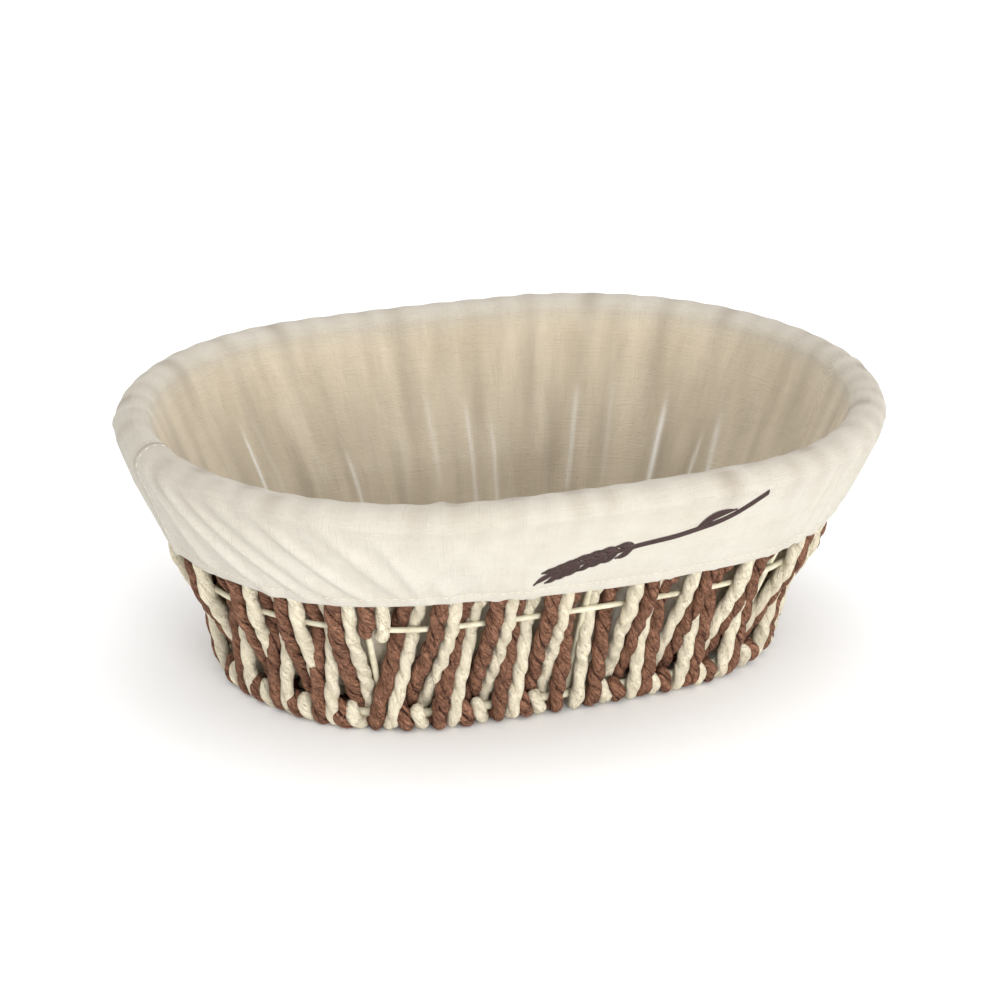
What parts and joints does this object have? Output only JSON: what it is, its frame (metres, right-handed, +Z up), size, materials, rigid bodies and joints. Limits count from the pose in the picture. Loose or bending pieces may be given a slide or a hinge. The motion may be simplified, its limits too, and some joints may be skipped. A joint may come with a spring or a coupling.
{
  "type": "bread basket",
  "caption": "Oval bread basket with a flared wire frame laced with two-tone twisted paper rope, and a lift-out cotton liner whose cuff folds over the rim.",
  "frame": {"origin": "middle of the footprint, on the surface the basket stands on", "axes": "+X along the long axis, +Y towards the back (the embroidered side faces -Y), +Z up"},
  "size_m": [0.2788, 0.2058, 0.0964],
  "materials": {
    "frame_wire": "cream coated steel wire, satin",
    "brown_paper_rope": "twisted paper cord, matte, reddish brown",
    "cream_paper_rope": "twisted paper cord, matte, pale cream",
    "cotton": "thin unbleached cotton, plain weave, matte",
    "elastic": "covered elastic cord",
    "embroidery_thread": "dark brown satin stitch, slight sheen"
  },
  "bodies": {
    "basket": {"base_wire": "frame_wire", "cross_rib_left": "frame_wire", "cross_rib_middle": "frame_wire", "cross_rib_right": "frame_wire", "floor_ropes_brown": "brown_paper_rope", "floor_ropes_cream": "cream_paper_rope", "long_rib": "frame_wire", "middle_wire": "frame_wire", "rim_wire": "frame_wire", "rope_knot_cream": "cream_paper_rope", "rope_tail_brown": "brown_paper_rope", "wall_ropes_brown_1": "brown_paper_rope", "wall_ropes_brown_2": "brown_paper_rope", "wall_ropes_brown_3": "brown_paper_rope", "wall_ropes_brown_4": "brown_paper_rope", "wall_ropes_brown_5": "brown_paper_rope", "wall_ropes_brown_6": "brown_paper_rope", "wall_ropes_brown_7": "brown_paper_rope", "wall_ropes_brown_8": "brown_paper_rope", "wall_ropes_cream_1": "cream_paper_rope", "wall_ropes_cream_2": "cream_paper_rope", "wall_ropes_cream_3": "cream_paper_rope", "wall_ropes_cream_4": "cream_paper_rope", "wall_ropes_cream_5": "cream_paper_rope", "wall_ropes_cream_6": "cream_paper_rope", "wall_ropes_cream_7": "cream_paper_rope", "wall_ropes_cream_8": "cream_paper_rope"},
    "liner": {"liner_wall": "cotton", "liner_floor": "cotton", "liner_cuff": "cotton", "hem_elastic": "elastic", "wheat_embroidery": "embroidery_thread"}
  },
  "joints": [
    {"name": "liner_lift", "type": "slide", "parent": "basket", "child": "liner", "axis": [0, 0, 1], "range_m": [0, 0.12], "deforming": ["liner_cuff", "hem_elastic", "wheat_embroidery"]}
  ]
}
